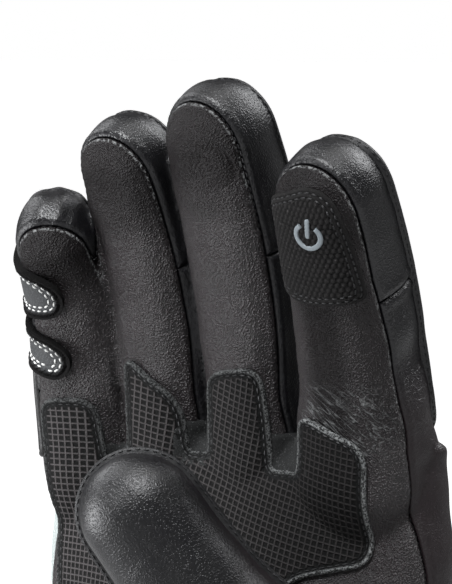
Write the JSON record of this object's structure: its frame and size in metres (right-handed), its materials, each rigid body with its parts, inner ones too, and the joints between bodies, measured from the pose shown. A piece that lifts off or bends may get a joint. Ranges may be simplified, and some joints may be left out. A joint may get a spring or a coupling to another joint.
{
  "type": "touring glove",
  "caption": "Right-hand leather touring glove in its worn shape: curled fingers with side-wall panels, thumb across the palm, gridded grip patch, fingertip touch patch and flared cuff.",
  "frame": {"origin": "centre of the cuff's opening, where the hand goes in", "axes": "+Z from the cuff's opening to the fingertips, the palm faces -Y, the thumb side is +X"},
  "size_m": [0.111, 0.0991, 0.2696],
  "materials": {
    "matte_leather": "matte fine grain",
    "glossy_leather": "soft gloss, fine grain",
    "grid_fabric": "raised grid of light threads on black",
    "touch_fabric": "ribbed knit with a printed power symbol",
    "tab_leather": "matte, double white stitching",
    "grey_fabric": "matte weave",
    "binding_leather": "matte"
  },
  "bodies": {
    "root": {"palm_panel": "matte_leather", "back_panel": "glossy_leather", "thumb_pulp_panel": "matte_leather", "thumb_back_panel": "glossy_leather", "little_tip_band": "glossy_leather", "ring_tip_band": "glossy_leather", "middle_tip_band": "glossy_leather", "index_tip_band": "glossy_leather", "little_side_panel": "glossy_leather", "hand_side_panel": "grey_fabric", "little_ring_fourchette": "glossy_leather", "ring_middle_fourchette": "glossy_leather", "middle_index_fourchette": "glossy_leather", "index_side_panel": "glossy_leather", "grip_patch": "grid_fabric", "touch_patch": "touch_fabric", "side_tab_upper": "tab_leather", "side_tab_lower": "tab_leather", "edge_strip": "tab_leather", "cuff": "glossy_leather", "cuff_binding": "binding_leather", "wrist_strap": "binding_leather"}
  },
  "joints": []
}
